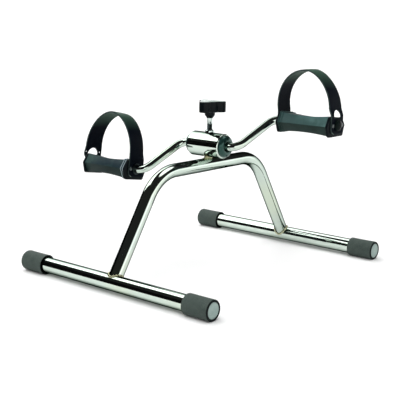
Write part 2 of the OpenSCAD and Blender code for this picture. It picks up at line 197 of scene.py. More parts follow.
def chrome_material(name="chrome_plate", tint=(0.60, 0.69, 0.62), dull=0.0, rim=0.44):
    """Plated metal with haze and fine scratches. Its colour is painted darker at the silhouette, from rim
    outwards, as painted shade.
    """
    m = Nodes(name)
    m.set(Metallic=1.0)
    m.set(Specular_Tint=(0.16, 0.20, 0.18, 1.0))
    cloud = m.noise(28.0, 4.0, 0.6)
    haze = m.noise(260.0, 5.0, 0.65)
    colour = m.ramp(cloud, [(0.3, tuple(c * 0.93 for c in tint)), (0.7, tint)])
    warm = m.range(m.noise(9.0, 1.0, 0.5), 0.0, 0.5, 0.50, 0.68)
    colour = m.mix(warm, colour, (tint[0] * 1.03, tint[1] * 0.98, tint[2] * 0.84))
    speck = m.noise(900.0, 2.0, 0.5)
    colour = m.mix(m.range(speck, 0.0, 0.5, 0.74, 0.80), colour, (0.30, 0.33, 0.31))
    # Painted shade: the colour darkens towards the silhouette, from rim outwards, as a painted dark outline.
    facing = m.add("ShaderNodeLayerWeight")
    facing.inputs["Blend"].default_value = 0.5
    edge = m.range(facing.outputs["Facing"], 0.0, 1.0, rim, rim + 0.27)
    colour = m.mix(edge, colour, (0.05, 0.065, 0.06))
    rough = m.maths("ADD", m.range(haze, 0.015 + dull, 0.07 + dull, 0.3, 0.75),
                    m.range(speck, 0.0, 0.25, 0.74, 0.80))
    scratch = m.noise(60.0, 2.0, 0.5, stretch=(14.0, 1.0, 1.0))
    wave = m.noise(34.0, 1.0, 0.4)
    normal = m.bump(wave, 0.00018, 0.5)
    normal = m.bump(scratch, 0.000004, 0.35, normal)
    return m.finish(colour, rough, normal)


def rubber_material(name, dark, light, rough=(0.55, 0.8), gloss=0.18, painted_light=None, edge=2.2,
                    grain_lift=2.0):
    """Rubber with a fine grain, paler edges that are partly wear and partly a painted highlight, and, where a
    colour for it is given, painted light on the faces turned up or down.
    """
    m = Nodes(name)
    m.set(Specular_IOR_Level=gloss)
    blotch = m.noise(70.0, 5.0, 0.6)
    grain = m.noise(1400.0, 3.0, 0.6)
    colour = m.ramp(blotch, [(0.28, dark), (0.75, light)])
    raised = tuple(min(1, c * grain_lift) for c in light)
    colour = m.mix(m.range(grain, 0.0, 0.30, 0.4, 0.8), colour, raised)
    # Painted light: faces turned up or down are painted towards the given light colour.
    if painted_light:
        level = m.maths("ABSOLUTE", m.upward(-1.0, 1.0, -1.0, 1.0))
        colour = m.mix(m.range(level, 0.0, 1.0, 0.50, 1.0), colour, painted_light)
    # Painted highlight: sharp edges are painted paler, partly as wear and partly as light caught along them.
    colour = m.mix(m.range(m.edges(0.0008), 0.0, 0.35), colour, tuple(min(1, c * edge) for c in light))
    normal = m.bump(grain, 0.00006, 0.5)
    normal = m.bump(blotch, 0.0002, 0.25, normal)
    return m.finish(colour, m.range(blotch, rough[0], rough[1], 0.3, 0.7), normal)


def plastic_material(name, dark, light, rough=(0.28, 0.45), grain_size=900.0, coat=0.0, gloss=0.22,
                     painted_light=None, painted_light_span=(-0.35, 0.6), painted_light_along=None, edge=2.6):
    """Moulded plastic with scuffs and paler edges, partly wear and partly a painted highlight. Where a pair of
    colours is given, faces turned up over the given span get painted light from above, and over an X span in
    metres, where one is given, that painted light grows paler, a painted highlight."""
    m = Nodes(name)
    m.set(Specular_IOR_Level=gloss, Coat_Weight=coat, Coat_Roughness=0.08)
    cloud = m.noise(45.0, 4.0, 0.6)
    grain = m.noise(grain_size, 2.0, 0.5)
    scuff = m.noise(120.0, 6.0, 0.7, stretch=(1.0, 3.5, 1.0))
    colour = m.ramp(cloud, [(0.3, dark), (0.72, light)])
    # Painted light: faces turned up are painted paler, as light from above.
    if painted_light:
        level = m.range(m.noise(26.0, 3.0, 0.6), 0.0, 1.0, 0.40, 0.62)
        # Painted highlight: the painted light grows paler along X.
        if painted_light_along:
            split = m.add("ShaderNodeSeparateXYZ")
            m.link(m.coord, split.inputs[0])
            painted_highlight_along_x = m.range(split.outputs["X"], 0.15, 0.9, *painted_light_along)
            level = m.maths("MULTIPLY", m.maths("ADD", level, 0.6), painted_highlight_along_x)
        shade = m.mix(level, painted_light[0], painted_light[1])
        colour = m.mix(m.upward(*painted_light_span), colour, shade)
    colour = m.mix(m.range(scuff, 0.0, 0.35, 0.58, 0.8), colour, tuple(min(1, c * 2.0) for c in light))
    # Painted highlight: sharp edges are painted paler, partly as wear and partly as light caught along them.
    colour = m.mix(m.range(m.edges(0.0007), 0.0, 0.45), colour, tuple(min(1, c * edge) for c in light))
    roughness = m.maths("ADD", m.range(cloud, rough[0], rough[1], 0.3, 0.7),
                        m.range(scuff, 0.0, 0.15, 0.55, 0.8))
    normal = m.bump(grain, 0.00004, 0.35)
    return m.finish(colour, roughness, normal)


CHROME = chrome_material()
TIP = rubber_material("tip_rubber", (0.030, 0.043, 0.038), (0.056, 0.072, 0.064), gloss=0.10,
                      grain_lift=2.8)
# Painted shade: the tips' mouth, bore and rounded rim are painted near black, darker than the tip rubber.
TIP_RIM_SHADED = rubber_material("tip_rim_painted_shade", (0.003, 0.005, 0.005), (0.007, 0.010, 0.010), (0.4, 0.6), 0.08)
# Painted light: the tips' end faces are painted far paler than the tip rubber, as light falling on them.
TIP_FACE_LIT = rubber_material("tip_end_face_painted_light", (0.22, 0.30, 0.28), (0.33, 0.42, 0.39), (0.35, 0.5))
BLACK = plastic_material("black_plastic", (0.002, 0.004, 0.004), (0.005, 0.009, 0.008), (0.14, 0.24),
                         gloss=0.03)
# Painted light: the pedal's upper faces are painted paler teal as light from above, growing paler towards the
# right pedal's outer end as a painted highlight.
PEDAL_PLASTIC = plastic_material("pedal_plastic", (0.007, 0.016, 0.014), (0.016, 0.034, 0.029), (0.3, 0.5),
                                 gloss=0.10, painted_light=((0.020, 0.048, 0.048), (0.085, 0.165, 0.155)),
                                 painted_light_along=(PEDAL[1].x - 0.020, PEDAL[1].x + 0.040))
# Painted shade: the left pedal gets a darker copy of the pedal plastic, with dimmer painted light on its upper
# faces.
PEDAL_SHADED = plastic_material("left_pedal_plastic", (0.005, 0.013, 0.012), (0.012, 0.026, 0.023),
                              (0.3, 0.5), gloss=0.10, painted_light=((0.009, 0.021, 0.028), (0.026, 0.052, 0.048)))
# Painted highlight: the left pedal's flanges are made pale to draw bright lines round its inner end.
FLANGE_HIGHLIGHT = plastic_material("flange_painted_highlight", (0.16, 0.21, 0.23), (0.26, 0.32, 0.34), (0.3, 0.5), gloss=0.12)
# Painted highlight: the end plates' sharp rims are painted much paler than their faces.
PLATE = plastic_material("end_plate_plastic", (0.0012, 0.003, 0.004), (0.003, 0.006, 0.008), (0.25, 0.4),
                         gloss=0.06, edge=9.0)
# Painted light: the strap's faces turned up or down are painted green, and its sharp edges painted much paler as a
# painted highlight.
STRAP = rubber_material("strap_rubber", (0.0012, 0.0022, 0.0048), (0.003, 0.005, 0.0085), (0.35, 0.5), 0.015,
                        (0.040, 0.082, 0.058), 9.0)
# Painted highlight: the strap's front and rear edge faces are painted paler than the band, with more painted light
# where they turn up or down.
STRAP_EDGE_LIT = rubber_material("strap_edge_painted_highlight", (0.014, 0.022, 0.023), (0.040, 0.056, 0.052), (0.35, 0.5),
                             0.03, (0.20, 0.27, 0.23), 3.0)
# Painted highlight: the peg heads are painted paler and glossier than the plates they sit on.
PEG = plastic_material("strap_peg_plastic", (0.028, 0.040, 0.040), (0.055, 0.075, 0.072), (0.15, 0.25),
                       gloss=0.5)
NYLON = plastic_material("nylon", (0.62, 0.60, 0.52), (0.74, 0.72, 0.64))
STEEL = chrome_material("turned_steel", (0.55, 0.57, 0.56), 0.25)
CAP = plastic_material("bearing_cap", (0.004, 0.014, 0.012), (0.012, 0.034, 0.030), (0.06, 0.14), gloss=1.0)
CAP.node_tree.nodes["Principled BSDF"].inputs["Specular Tint"].default_value = (0.30, 0.62, 0.52, 1.0)
# Painted light: the knob's top face is painted pale grey-green as light from above.
KNOB = plastic_material("knob_plastic", (0.0015, 0.003, 0.004), (0.004, 0.007, 0.008), (0.15, 0.25),
                        gloss=0.09, painted_light=((0.24, 0.31, 0.28), (0.34, 0.41, 0.38)),
                        painted_light_span=(0.75, 0.98))
WELD = chrome_material("plated_weld", (0.60, 0.60, 0.42), 0.08, 0.75)
SCREW = chrome_material("plated_shank", (0.60, 0.68, 0.66), 0.02, 0.70)
# Painted shade: the threaded part is painted dark, standing in for the shade in its threads.
THREAD_SHADED = chrome_material("thread_painted_shade", (0.10, 0.125, 0.13), 0.16, 0.6)
BLACKENED = chrome_material("blackened_steel", (0.035, 0.042, 0.045), 0.30, 0.7)
LINING = rubber_material("brake_lining", (0.10, 0.055, 0.03), (0.17, 0.10, 0.06))

OF_SLOT = {
    "chrome": CHROME, "tip_rubber": TIP, "black_plastic": BLACK, "pedal_plastic": PEDAL_PLASTIC,
    "strap_rubber": STRAP, "nylon": NYLON, "steel": STEEL, "brake_lining": LINING,
}
for row in frame["record"]["subparts"]:
    o = nodes[row["node"]]
    o.data.materials.clear()
    special = BLACKENED if "washer" in row["node"] else PEG if "pegs" in row["node"] else None
    o.data.materials.append(special or OF_SLOT[row["material_slot"]])

# ---------------------------------------------------------------- mesh helpers


def piece(name, bm, materials, body, stands_for=(), sharp=32.0):
    """Turns a bmesh into a piece that rides on a CAD body. Edges over `sharp` degrees stay crisp."""
    bmesh.ops.remove_doubles(bm, verts=bm.verts, dist=1e-7)
    bmesh.ops.recalc_face_normals(bm, faces=bm.faces)
    for f in bm.faces:
        f.smooth = True
    for e in bm.edges:
        e.smooth = not (len(e.link_faces) == 2 and e.calc_face_angle(0.0) > math.radians(sharp))
    me = bpy.data.meshes.new(name)
    bm.to_mesh(me)
    bm.free()
    for m in materials:
        me.materials.append(m)
    o = bpy.data.objects.new(name, me)
    bpy.context.scene.collection.objects.link(o)
    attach(o, body)
    if stands_for:
        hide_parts(*stands_for)
    return o


def grid(bm, rings, closed_round=True, closed_along=False, caps=True, material=0):
    """Joins rings of points into a skin."""
    loops = [[bm.verts.new(p) for p in ring] for ring in rings]
    count = len(loops[0])
    pairs = list(zip(loops, loops[1:]))
    if closed_along:
        pairs.append((loops[-1], loops[0]))
    for a, b in pairs:
        for i in range(count if closed_round else count - 1):
            j = (i + 1) % count
            f = bm.faces.new((a[i], a[j], b[j], b[i]))
            f.material_index = material
    if caps and not closed_along:
        bm.faces.new(loops[0]).material_index = material
        bm.faces.new(loops[-1]).material_index = material
    return loops


def fillet_path(corners, radius, step=2.5):
    """A polyline with each inner corner rounded to the given radius, as points with their tangents."""
    out = [corners[0]]
    for a, b, c in zip(corners, corners[1:], corners[2:]):
        u, v = (b - a).normalized(), (c - b).normalized()
        turn = u.angle(v)
        run = radius * math.tan(turn / 2)
        axis = u.cross(v).normalized()
        start = b - u * run
        centre = start + axis.cross(u) * radius
        n = max(2, int(math.degrees(turn) / step))
        for i in range(n + 1):
            out.append(centre + Matrix.Rotation(turn * i / n, 3, axis) @ (start - centre))
    out.append(corners[-1])
    return out


def sweep(points, radius, plane_normal, sides=72):
    """Rings of a round tube along points that lie in one plane."""
    rings = []
    for i, p in enumerate(points):
        a = points[max(i - 1, 0)]
        b = points[min(i + 1, len(points) - 1)]
        if 0 < i < len(points) - 1:
            t = ((p - a).normalized() + (b - p).normalized()).normalized()
        else:
            t = (b - a).normalized()
        side = plane_normal.normalized()
        up = side.cross(t)
        rings.append([p + radius * (math.cos(w) * side + math.sin(w) * up)
                      for w in (2 * math.pi * k / sides for k in range(sides))])
    return rings


def turned(bm, profile, origin, axis, sides=72, material=0, close=True):
    """Turns a profile of (radius, distance along the axis) about an axis. A radius of 0 closes to a point."""
    axis = Vector(axis).normalized()
    side = axis.orthogonal().normalized()
    up = axis.cross(side)
    rings = [[origin + axis * h + r * (math.cos(w) * side + math.sin(w) * up)
              for w in (2 * math.pi * k / sides for k in range(sides))] for r, h in profile]
    return grid(bm, rings, closed_along=close, caps=False, material=material)


def arc(cx, cy, r, a0, a1, n=6):
    """Points of an arc as (x, y), from angle a0 to a1 in degrees."""
    return [(cx + r * math.cos(math.radians(a0 + (a1 - a0) * i / n)),
             cy + r * math.sin(math.radians(a0 + (a1 - a0) * i / n))) for i in range(n + 1)]


def rounded(node, body, material, width=0.5, segments=3, angle=28.0):
    """A CAD solid with its sharp outer edges rounded over, as a moulding has."""
    bm = bmesh.new()
    bm.from_mesh(nodes[node].data)
    bmesh.ops.remove_doubles(bm, verts=bm.verts, dist=2e-6)
    bmesh.ops.dissolve_limit(bm, angle_limit=math.radians(0.6), verts=bm.verts, edges=bm.edges)
    sharp = [e for e in bm.edges if len(e.link_faces) == 2 and e.calc_face_angle(0.0) > math.radians(angle)]
    bmesh.ops.bevel(bm, geom=sharp, offset=width * MM, offset_type="OFFSET", segments=segments,
                    profile=0.5, affect="EDGES", clamp_overlap=True)
    o = piece(node + "_moulded", bm, [material], body, [node], sharp=40.0)
    return o


# ---------------------------------------------------------------- frame: tubes, welds, tips

ARCH_R = half("arch_tube").x
BEAM_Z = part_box("arch_tube")[1].z - ARCH_R
ARCH_HALF = 125.5 * MM
ARCH_BEND = 72 * MM
X = Vector((1, 0, 0))
Z = Vector((0, 0, 1))


def floor_tube(end):
    node = END[end] + "_floor_tube"
    lo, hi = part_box(node)
    r = FLOOR_R
    c = Vector((0, end * FLOOR_Y, FLOOR_Z))
    reach = hi.x
    n = 40
    profile = [(r - 1.5 * MM, -reach), (r - 0.4 * MM, -reach), (r, -reach + 0.4 * MM)]
    profile += [(r, -reach + 2 * reach * i / n) for i in range(1, n)]
    profile += [(r, reach - 0.4 * MM), (r - 0.4 * MM, reach), (r - 1.5 * MM, reach)]
    profile += [(r - 1.5 * MM, reach - 2 * reach * i / 6) for i in range(1, 6)]
    bm = bmesh.new()
    turned(bm, profile, c, X, sides=96)
    piece(node + "_drawn", bm, [CHROME], "frame", [node])


def leg_axis(end):
    foot = Vector((0, end * FLOOR_Y, FLOOR_Z))
    knee = Vector((0, end * ARCH_HALF, BEAM_Z))
    return foot, (knee - foot).normalized()


def onto_floor_tube(p, direction, end, radius):
    """Slides a point along a direction until it meets the floor tube's surface."""
    c = Vector((0, end * FLOOR_Y, FLOOR_Z))
    q = Vector((0, p.y - c.y, p.z - c.z))
    d = Vector((0, direction.y, direction.z))
    a, b, k = d.dot(d), 2 * q.dot(d), q.dot(q) - radius * radius
    return p + direction * ((-b + math.sqrt(max(b * b - 4 * a * k, 0.0))) / (2 * a))


def arch_tube():
    corners = [Vector((0, -FLOOR_Y, FLOOR_Z)), Vector((0, -ARCH_HALF, BEAM_Z)),
               Vector((0, ARCH_HALF, BEAM_Z)), Vector((0, FLOOR_Y, FLOOR_Z))]
    rings = sweep(fillet_path(corners, ARCH_BEND, 1.5), ARCH_R, X, 96)
    for index, end in ((0, -1), (-1, 1)):
        direction = leg_axis(end)[1]
        rings[index] = [onto_floor_tube(p, direction, end, FLOOR_R - 0.2 * MM) for p in rings[index]]
    bm = bmesh.new()
    grid(bm, rings, caps=False)
    inner = sweep(fillet_path(corners, ARCH_BEND, 6), ARCH_R - 1.5 * MM, X, 96)
    for index, end in ((0, -1), (-1, 1)):
        direction = leg_axis(end)[1]
        inner[index] = [onto_floor_tube(p, direction, end, FLOOR_R - 0.2 * MM) for p in inner[index]]
    grid(bm, inner, caps=False)
    for index in (0, -1):
        n = len(rings[index])
        a = [bm.verts.new(p) for p in rings[index]]
        b = [bm.verts.new(p) for p in inner[index]]
        for i in range(n):
            bm.faces.new((a[i], a[(i + 1) % n], b[(i + 1) % n], b[i]))
    piece("arch_tube_bent", bm, [CHROME], "frame", ["arch_tube"], sharp=40)


def bead(bm, centres, radius, ripples, depth):
    """A closed weld bead: a lumpy ring along the centres, each given with its outward direction."""
    n = len(centres)
    rings = []
    for i, (p, out) in enumerate(centres):
        a, b = centres[i - 1][0], centres[(i + 1) % n][0]
        t = (b - a).normalized()
        out = (out - t * out.dot(t)).normalized()
        up = t.cross(out)
        wave = abs(math.sin(math.pi * ripples * i / n))
        r = radius * (1 - depth + depth * wave) * (1 + 0.08 * (rng.random() - 0.5))
        rings.append([p + r * (math.cos(w) * out + math.sin(w) * up)
                      for w in (2 * math.pi * k / 14 for k in range(14))])
    grid(bm, rings, closed_along=True)


def foot_welds():
    bm = bmesh.new()
    for end in (-1, 1):
        foot, direction = leg_axis(end)
        side = X
        up = direction.cross(side)
        centres = []
        for k in range(288):
            w = 2 * math.pi * k / 288
            out = math.cos(w) * side + math.sin(w) * up
            p = onto_floor_tube(foot + out * (ARCH_R + 0.5 * MM), direction, end, FLOOR_R + 0.5 * MM)
            centres.append((p, out))
        bead(bm, centres, 1.9 * MM, 48, 0.22)
    piece("foot_weld_beads", bm, [WELD], "frame", ["foot_welds"], sharp=60)


def hub_weld():
    """The fillet weld between the beam's top and the hub's underside."""
    hub_r = half("hub_shell").z
    bm = bmesh.new()
    rings = []
    steps = 9
    for k in range(steps):
        t = k / (steps - 1)
        pinch = 1 - 0.30 * math.sin(math.pi * t)
        ring = []
        for i in range(240):
            w = 2 * math.pi * i / 240
            ripple = 1 + 0.035 * abs(math.sin(20 * w)) * math.sin(math.pi * t)
            x = (7.0 - 1.0 * t) * pinch * ripple * math.cos(w) * MM
            y = (16.5 - 3.5 * t) * pinch * ripple * math.sin(w) * MM
            low = BEAM_Z + math.sqrt(ARCH_R ** 2 - x * x) - 0.3 * MM
            high = HUB.z - math.sqrt(hub_r ** 2 - y * y) + 0.3 * MM
            ring.append(Vector((x, y, low + (high - low) * t)))
        rings.append(ring)
    grid(bm, rings)
    piece("hub_weld_fillet", bm, [WELD], "frame", ["hub_saddle"], sharp=60)


def rubber_tip(end, side):
    node = f"{END[end]}_{NAME[side]}_tip"
    lo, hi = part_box(node)
    r = half(node).y
    c = Vector((0, end * FLOOR_Y, FLOOR_Z))
    length = hi.x - lo.x
    start = (lo.x if side > 0 else -hi.x)
    top = start + length
    mouth = 14.9 * MM
    bore = [(FLOOR_R + 0.02 * MM, top - 3 * MM), (FLOOR_R + 0.02 * MM, start + 7 * MM),
            (mouth - 0.5 * MM, start + 5.5 * MM), (mouth, start + 0.5 * MM)]
    bore += arc(mouth + 0.45 * MM, start + 0.45 * MM, 0.45 * MM, 180, 300, 5)
    bore += [(r - 0.25 * MM, start + 0.25 * MM)]
    profile = [bore[-1], (r, start + 1.2 * MM)]
    profile += [(r - 0.10 * MM * math.sin(math.pi * i / 12), start + 1.2 * MM + (length - 4.2 * MM) * i / 12)
                for i in range(1, 12)]
    profile += arc(r - 2.6 * MM, top - 2.6 * MM, 2.6 * MM, 0, 24, 3)
    groove = r * 0.79
    rim = [profile[-1]] + arc(r - 2.6 * MM, top - 2.6 * MM, 2.6 * MM, 32, 82, 6)
    rim += [(groove + 0.5 * MM, top - 0.1 * MM), (groove, top - 1.1 * MM),
            (groove - 0.5 * MM, top - 1.2 * MM)]
    bm = bmesh.new()
    # The mouth and rim take the near-black painted shade, the end face the pale painted light.
    turned(bm, bore, c, X * side, 96, material=2, close=False)
    turned(bm, profile, c, X * side, 96, close=False)
    turned(bm, rim, c, X * side, 96, material=2, close=False)
    face = [(groove - 0.5 * MM, top - 1.2 * MM), (groove - 1.0 * MM, top - 0.75 * MM),
            (groove - 2.2 * MM, top - 0.6 * MM), (r * 0.4, top - 0.5 * MM), (r * 0.1, top - 0.5 * MM)]
    loops = turned(bm, face, c, X * side, 96, material=1, close=False)
    bm.faces.new(loops[-1]).material_index = 1
    back = [v for v in bm.verts if abs((v.co - c).dot(X * side) - (top - 3 * MM)) < 1e-6
            and abs(math.hypot(v.co.y - c.y, v.co.z - c.z) - FLOOR_R - 0.02 * MM) < 1e-6]
    back.sort(key=lambda v: math.atan2(v.co.z - c.z, v.co.y - c.y))
    if len(back) > 2:
        bm.faces.new(back)
    for v in bm.verts:
        v.co.z = max(v.co.z, 0.0)
    piece(node + "_moulded", bm, [TIP, TIP_FACE_LIT, TIP_RIM_SHADED], "frame", [node], sharp=50)


def bearing_cap(side):
    node = NAME[side] + "_bearing_cap"
    lo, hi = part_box(node)
    face = half("hub_shell").x
    out = (hi.x if side > 0 else -lo.x) - face
    r = half("hub_shell").z - 2.1 * MM
    hole = 7.05 * MM
    profile = [(hole, face - 3 * MM), (r - 0.6 * MM, face - 3 * MM), (r - 0.6 * MM, face + 0.05 * MM),
               (r, face + 0.05 * MM), (r, face + 0.9 * MM)]
    lip = hole + 2.6 * MM
    profile += [(lip + (r - lip) * math.cos(math.radians(a)),
                 face + 0.9 * MM + (out - 0.9 * MM) * math.sin(math.radians(a))) for a in range(6, 90, 6)]
    profile += [(lip, face + out), (lip - 0.6 * MM, face + out - 0.15 * MM),
                (lip - 1.1 * MM, face + out - 1.2 * MM),
                (hole + 0.5 * MM, face + out - 1.6 * MM), (hole, face + out - 2.0 * MM)]
    bm = bmesh.new()
    turned(bm, profile, Vector((0, 0, HUB.z)), X * side, 96)
    piece(node + "_moulded", bm, [CAP], "frame", [node], sharp=50)


# ---------------------------------------------------------------- crank and tension control


def crank_rod():
    r = 6.65 * MM
    reach = half("crank_rod").x
    arm = PEDAL[1] - HUB
    arm.x = 0
    normal = X.cross(arm).normalized()
    right = [Vector((57 * MM, 0, 0)), Vector((75.5 * MM, 0, 0)) + arm, Vector((reach, 0, 0)) + arm]
    corners = [Vector((-p.x, -p.y, -p.z)) for p in reversed(right)] + right
    points = [HUB + p for p in fillet_path(corners, 20 * MM, 2.5)]
    rings = sweep(points, r, normal, 72)
    bm = bmesh.new()
    grid(bm, rings)
    piece("crank_rod_bent", bm, [CHROME], "crank", ["crank_rod"], sharp=40)


def tension_screw():
    lo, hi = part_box("tension_screw")
    r = half("tension_screw").x
    boss_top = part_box("tension_boss")[1].z
    thread_top = boss_top + 9.5 * MM
    pitch, sides, depth = 1.5 * MM, 40, 0.55 * MM
    rings = []
    z = lo.z + 2.5 * MM
    while z < thread_top:
        ring = []
        for k in range(sides):
            w = 2 * math.pi * k / sides
            phase = ((z / pitch) - k / sides) % 1.0
            rr = r - 0.04 * MM - depth * abs(2 * phase - 1) * min(1, (thread_top - z) / pitch)
            ring.append(Vector((rr * math.cos(w), rr * math.sin(w), z)))
        rings.append(ring)
        z += pitch / 8
    plain = [(3.0, lo.z), (3.0, lo.z + 2.2 * MM)]
    turns = [2 * math.pi * k / sides for k in range(sides)]
    first = [[Vector((3.0 * MM * math.cos(w), 3.0 * MM * math.sin(w), h)) for w in turns] for _, h in plain]
    shank = [(r - 0.6 * MM, thread_top + 0.3 * MM), (r - 0.15 * MM, thread_top + 0.8 * MM),
             (r - 0.15 * MM, hi.z - 6 * MM), (r - 0.15 * MM, hi.z)]
    last = [[Vector((a * math.cos(2 * math.pi * k / sides), a * math.sin(2 * math.pi * k / sides), h))
             for k in range(sides)] for a, h in shank]
    bm = bmesh.new()
    grid(bm, first + rings + last)
    for f in bm.faces:
        # The threaded faces take the dark painted-shade material.
        f.material_index = 1 if f.calc_center_median().z < thread_top else 0
    piece("tension_screw_threaded", bm, [SCREW, THREAD_SHADED], "tension_control", ["tension_screw"],
          sharp=50)


def tension_boss():
    """The round-topped boss welded to the hub, coped to the hub's top."""
    lo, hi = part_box("tension_boss")
    r, hole = half("tension_boss").x, 4.65 * MM
    hub_r = half("hub_shell").z
    sides = 72

    def ring(radius, z):
        out = []
        for k in range(sides):
            w = 2 * math.pi * k / sides
            x, y = radius * math.cos(w), radius * math.sin(w)
            low = HUB.z + math.sqrt(hub_r ** 2 - y * y) - 0.3 * MM
            out.append(Vector((x, y, low if z is None else z)))
        return out

    rings = [ring(hole, None), ring(r + 0.9 * MM, None), ring(r, hi.z - 2.6 * MM)]
    rings += [ring(a, z) for a, z in arc(r - 2.2 * MM, hi.z - 2.2 * MM, 2.2 * MM, 0, 90, 6)]
    rings += [ring(hole + 0.3 * MM, hi.z), ring(hole, hi.z - 0.3 * MM)]
    bm = bmesh.new()
    grid(bm, rings, closed_along=True)
    piece("tension_boss_turned", bm, [SCREW], "frame", ["tension_boss"], sharp=50)


def knob_outline(n=180):
    """The grip's outline: three round lobes blended into a round core, as points with outward directions."""
    lobe_out, lobe_r, turn = 16.5 * MM, 9.5 * MM, math.radians(39)
    pts = []
    for i in range(n):
        w = 2 * math.pi * i / n
        best = lobe_out
        for k in range(3):
            d = w - turn - k * 2 * math.pi / 3
            d = (d + math.pi) % (2 * math.pi) - math.pi
            inside = lobe_r ** 2 - (lobe_out * math.sin(d)) ** 2
            if abs(d) < math.pi / 2 and inside > 0:
                best = max(best, lobe_out * math.cos(d) + math.sqrt(inside))
        pts.append(best)
    for _ in range(10):
        flat = [(pts[i - 1] + 2 * pts[i] + pts[(i + 1) % n]) / 4 for i in range(n)]
        pts = [max(a, b) if b < 22 * MM else a for a, b in zip(pts, flat)]
    turns = [2 * math.pi * i / n for i in range(n)]
    loop = [Vector((r * math.cos(w), r * math.sin(w), 0)) for w, r in zip(turns, pts)]
    out = []
    for i, p in enumerate(loop):
        t = (loop[(i + 1) % n] - loop[i - 1]).normalized()
        out.append((p, Vector((t.y, -t.x, 0))))
    return out


def tension_knob():
    lo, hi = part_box("tension_knob")
    neck_h = 10 * MM
    under, top = lo.z + neck_h, hi.z
    outline = knob_outline()
    steps = [(9.0, 0.0), (5.5, 0.0), (3.2, 0.0)]
    quarter = [math.radians(a) for a in range(0, 91, 15)]
    steps += [(1.6 - 1.6 * math.sin(a), 1.6 - 1.6 * math.cos(a)) for a in quarter]
    h = (top - under) / MM
    steps += [(0.0, h * 0.35), (0.0, h * 0.65)]
    steps += [(2.2 - 2.2 * math.cos(a), h - 2.2 + 2.2 * math.sin(a)) for a in quarter]
    steps += [(3.2, h - 0.02), (4.2, h - 0.25), (5.0, h - 0.45)]
    rings = []
    for inset, z in steps:
        rings.append([p - o * inset * MM + Vector((0, 0, under + z * MM)) for p, o in outline])
    for share, z in ((0.62, h - 0.5), (0.40, h - 0.5), (0.37, h - 0.15), (0.30, h - 0.05), (0.1, h)):
        rings.append([p * share + Vector((0, 0, under + z * MM)) for p, o in outline])
    bm = bmesh.new()
    grid(bm, rings)
    neck = [(5.0, 8.0), (4.6, 0.0), (5.0, 0.0), (5.3, 0.4), (6.0, 1.4), (7.6, 3.6), (8.3, 4.7), (8.6, 5.5),
            (8.6, 8.2), (9.0, 9.2), (9.9, 9.9), (10.2, 10.4), (5.0, 10.4)]
    neck = [(a * MM, b * MM) for a, b in neck]
    turned(bm, neck, Vector((0, 0, lo.z)), Z, 72)
    piece("tension_knob_moulded", bm, [KNOB], "tension_control", ["tension_knob"], sharp=40)


# ---------------------------------------------------------------- pedals

TILT = {1: 0.0, -1: 8.5}


def pedal_length(side):
    """Length of a pedal along X, over the outer faces of its two end plates."""
    boxes = [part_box(f"{NAME[side]}_{place}_plate") for place in ("inner", "outer")]
    return max(hi.x for lo, hi in boxes) - min(lo.x for lo, hi in boxes)


PEDAL_LEN = {s: pedal_length(s) for s in (-1, 1)}


def pedal_point(side, x, y, z):
    """From the pedal's own axes, x outwards from the hub, y to the rear and z up, in mm, to the row frame."""
    p = Vector((side * x * MM, y * MM, z * MM))
    return PEDAL[side] + Matrix.Rotation(math.radians(-TILT[side]), 3, "X") @ p


def pedal_outline(grow, radius, wide=0.0, flush=0.0):
    """The pedal's section as (y, z) in mm, front at -y, grown all round and wider at the bottom, with rounded
    corners. The top is lowered by `flush`."""
    t, e, h = 17.0 + grow / 2, 25.0 + grow, 15.8 + grow
    up, low = h - flush, t + wide
    corners = [Vector(p) for p in ((-low, -h), (low, -h), (e, 0), (t, up - 4.0), (-t, up), (-e, 0))]
    out = []
    for i, b in enumerate(corners):
        a, c = corners[i - 1], corners[(i + 1) % 6]
        u, v = (a - b).normalized(), (c - b).normalized()
        angle = u.angle(v)
        run = radius / math.tan(angle / 2)
        centre = b + (u + v).normalized() * (radius / math.sin(angle / 2))
        start, end = b + u * run - centre, b + v * run - centre
        for k in range(7):
            d = (start * (1 - k / 6) + end * (k / 6)).normalized() * radius
            out.append((centre.x + d.x, centre.y + d.y - 1.0))
    return out


def flange(side, at, name, proud=0.8):
    """A thin moulded flange round the pedal body, beside the inner end plate."""
    bm = bmesh.new()
    rings = []
    half_section = ((0.7, -0.8), (0.7, proud - 0.35), (0.4, proud))
    section = [(-dx, grow) for dx, grow in half_section] + list(reversed(half_section))
    for dx, grow in section:
        rings.append([pedal_point(side, at + dx, y, z) for y, z in pedal_outline(grow, 1.6)])
    grid(bm, rings, caps=False, closed_along=True)
    # Painted highlight: the left pedal's flanges take the pale material.
    material = FLANGE_HIGHLIGHT if side < 0 else PEDAL_PLASTIC
    piece(name, bm, [material], NAME[side] + "_pedal", (), sharp=25)


def carve(o, cut, width, smooth=42):
    """Cuts the closed skins in `cut` out of a piece, then rounds its sharp edges over."""
    bmesh.ops.recalc_face_normals(cut, faces=cut.faces)
    cm = bpy.data.meshes.new("cutter")
    cut.to_mesh(cm)
    cut.free()
    co = bpy.data.objects.new("cutter", cm)
    bpy.context.scene.collection.objects.link(co)
    b = o.modifiers.new("openings", "BOOLEAN")
    b.object = co
    b.solver = "EXACT"
    bev = o.modifiers.new("edges", "BEVEL")
    bev.width = width * MM
    bev.segments = 3
    bev.limit_method = "ANGLE"
    bev.angle_limit = math.radians(45)
    bpy.context.view_layer.update()
    done = bpy.data.meshes.new_from_object(o.evaluated_get(bpy.context.evaluated_depsgraph_get()))
    o.modifiers.clear()
    o.data = done
    bpy.data.objects.remove(co)
    bm = bmesh.new()
    bm.from_mesh(done)
    for f in bm.faces:
        f.smooth = True
    for e in bm.edges:
        e.smooth = not (len(e.link_faces) == 2 and e.calc_face_angle(0.0) > math.radians(smooth))
    bm.to_mesh(done)
    bm.free()


def prism(bm, side, points, x0, x1):
    grid(bm, [[pedal_point(side, x, y, z) for y, z in points] for x in (x0, x1)])


